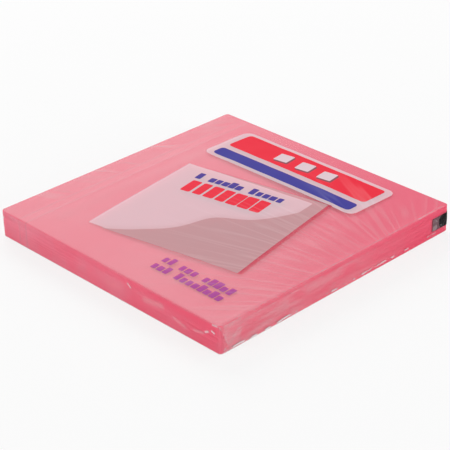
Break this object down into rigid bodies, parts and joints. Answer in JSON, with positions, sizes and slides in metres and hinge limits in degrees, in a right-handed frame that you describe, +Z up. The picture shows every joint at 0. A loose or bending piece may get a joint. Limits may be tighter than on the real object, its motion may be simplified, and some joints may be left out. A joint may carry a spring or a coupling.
{
  "type": "sticky note pad",
  "caption": "Square pad of pink sticky notes lying flat in its clear printed film wrap, with envelope folds at two ends and a narrow tear tape.",
  "frame": {"origin": "on the surface the pad lies on, under the middle of the pad", "axes": "+X along the wrap's tube, to the right as the print is read; +Y to the glued edge of the notes, the top of the print; +Z up, through the pad's thickness"},
  "size_m": [0.0764, 0.0762, 0.0071],
  "materials": {
    "note_paper": "matt",
    "liner_paper": "smooth, with a light sheen",
    "tape_film": "clear, glossy",
    "wrap_film": "clear, glossy, printed with areas of colour"
  },
  "bodies": {
    "root": {"note_block": "note_paper", "backing_sheet": "liner_paper", "tear_tape": "tape_film", "film_wrap": "wrap_film"}
  },
  "joints": []
}
